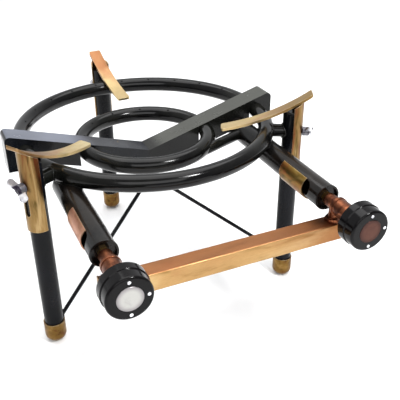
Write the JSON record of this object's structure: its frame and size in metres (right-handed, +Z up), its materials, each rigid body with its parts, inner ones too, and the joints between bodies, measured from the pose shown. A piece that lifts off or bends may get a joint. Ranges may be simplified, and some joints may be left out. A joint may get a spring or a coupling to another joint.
{
  "type": "gas ring burner",
  "caption": "Floor-standing gas ring burner: concentric flame rings on a braced tripod, height-adjustable pan supports, and a front gas rail with push-and-turn taps",
  "frame": {"origin": "on the floor, on the common axis of the rings, midway between the legs' feet", "axes": "+Z up; the taps and the gas rail face -Y; +X runs along the rail to the right of someone facing the taps"},
  "size_m": [0.4598, 0.6237, 0.3271],
  "materials": {
    "enamel": "glossy black stove enamel over steel",
    "yellow_zinc": "yellow-passivated zinc plate over steel",
    "brass": "turned brass, bright",
    "tap_brass": "turned brass, darkened to a copper brown",
    "light_zinc": "bright zinc plate over steel",
    "bakelite": "black moulded thermoset, glossy",
    "cap_metal": "satin disc",
    "steel": "plain steel"
  },
  "bodies": {
    "stand": {"brace_hub": "enamel", "brace_rod_back": "enamel", "brace_rod_left": "enamel", "brace_rod_right": "enamel", "cover_screws_left": "yellow_zinc", "cover_screws_right": "yellow_zinc", "cross_pipe": "enamel", "feed_riser": "enamel", "flame_channel_left": "enamel", "flame_channel_right": "enamel", "foot_back": "yellow_zinc", "foot_left": "yellow_zinc", "foot_right": "yellow_zinc", "gas_inlet": "brass", "gas_rail": "yellow_zinc", "injector_left": "brass", "injector_right": "brass", "inner_ring": "enamel", "leg_back": "enamel", "leg_bosses": "enamel", "leg_left": "enamel", "leg_plugs": "bakelite", "leg_right": "enamel", "mixing_tube_left": "enamel", "mixing_tube_right": "enamel", "mouth_plate_left": "steel", "mouth_plate_right": "steel", "outer_ring": "enamel", "rail_ends": "yellow_zinc", "tap_body_left": "tap_brass", "tap_body_right": "tap_brass", "tap_cover_left": "brass", "tap_cover_right": "brass", "tube_end_left": "enamel", "tube_end_right": "enamel"},
    "tap_plug_left": {"tap_plug_left": "brass", "tap_spring_left": "steel"},
    "knob_left": {"knob_left": "bakelite", "knob_cap_left": "cap_metal", "tap_spindle_left": "brass"},
    "air_slider_left": {"air_slider_left": "yellow_zinc"},
    "tap_plug_right": {"tap_plug_right": "brass", "tap_spring_right": "steel"},
    "knob_right": {"knob_right": "bakelite", "knob_cap_right": "cap_metal", "tap_spindle_right": "brass"},
    "air_slider_right": {"air_slider_right": "yellow_zinc"},
    "pan_support_right": {"support_arm_right": "yellow_zinc", "support_sleeve_right": "yellow_zinc"},
    "wing_screw_right": {"wing_screw_right": "light_zinc"},
    "pan_support_back": {"support_arm_back": "yellow_zinc", "support_sleeve_back": "yellow_zinc"},
    "wing_screw_back": {"wing_screw_back": "light_zinc"},
    "pan_support_left": {"support_arm_left": "yellow_zinc", "support_sleeve_left": "yellow_zinc"},
    "wing_screw_left": {"wing_screw_left": "light_zinc"}
  },
  "joints": [
    {"name": "tap_turn_left", "type": "hinge", "parent": "stand", "child": "tap_plug_left", "pos_m": [-0.1515, -0.29, 0.241], "axis": [0, -1, 0], "range_deg": [0, 180]},
    {"name": "knob_push_left", "type": "slide", "parent": "tap_plug_left", "child": "knob_left", "axis": [0, 1, 0], "range_m": [0, 0.003], "stiffness_N_per_m": 1500, "deforming": ["tap_spring_left"]},
    {"name": "air_slide_left", "type": "slide", "parent": "stand", "child": "air_slider_left", "axis": [0, 1, 0], "range_m": [-0.014, 0.04]},
    {"name": "tap_turn_right", "type": "hinge", "parent": "stand", "child": "tap_plug_right", "pos_m": [0.1545, -0.29, 0.241], "axis": [0, -1, 0], "range_deg": [0, 180]},
    {"name": "knob_push_right", "type": "slide", "parent": "tap_plug_right", "child": "knob_right", "axis": [0, 1, 0], "range_m": [0, 0.003], "stiffness_N_per_m": 1500, "deforming": ["tap_spring_right"]},
    {"name": "air_slide_right", "type": "slide", "parent": "stand", "child": "air_slider_right", "axis": [0, 1, 0], "range_m": [-0.014, 0.04]},
    {"name": "pan_support_right_height", "type": "slide", "parent": "stand", "child": "pan_support_right", "axis": [0, 0, 1], "range_m": [0, 0.04]},
    {"name": "wing_screw_right_turn", "type": "hinge", "parent": "stand", "child": "wing_screw_right", "pos_m": [0.21348, -0.12325, 0.265], "axis": [0.866, -0.5, 0], "range_deg": [0, 720]},
    {"name": "pan_support_back_height", "type": "slide", "parent": "stand", "child": "pan_support_back", "axis": [0, 0, 1], "range_m": [0, 0.04]},
    {"name": "wing_screw_back_turn", "type": "hinge", "parent": "stand", "child": "wing_screw_back", "pos_m": [0, 0.2465, 0.265], "axis": [0, 1, 0], "range_deg": [0, 720]},
    {"name": "pan_support_left_height", "type": "slide", "parent": "stand", "child": "pan_support_left", "axis": [0, 0, 1], "range_m": [0, 0.04]},
    {"name": "wing_screw_left_turn", "type": "hinge", "parent": "stand", "child": "wing_screw_left", "pos_m": [-0.21348, -0.12325, 0.265], "axis": [-0.866, -0.5, 0], "range_deg": [0, 720]}
  ]
}
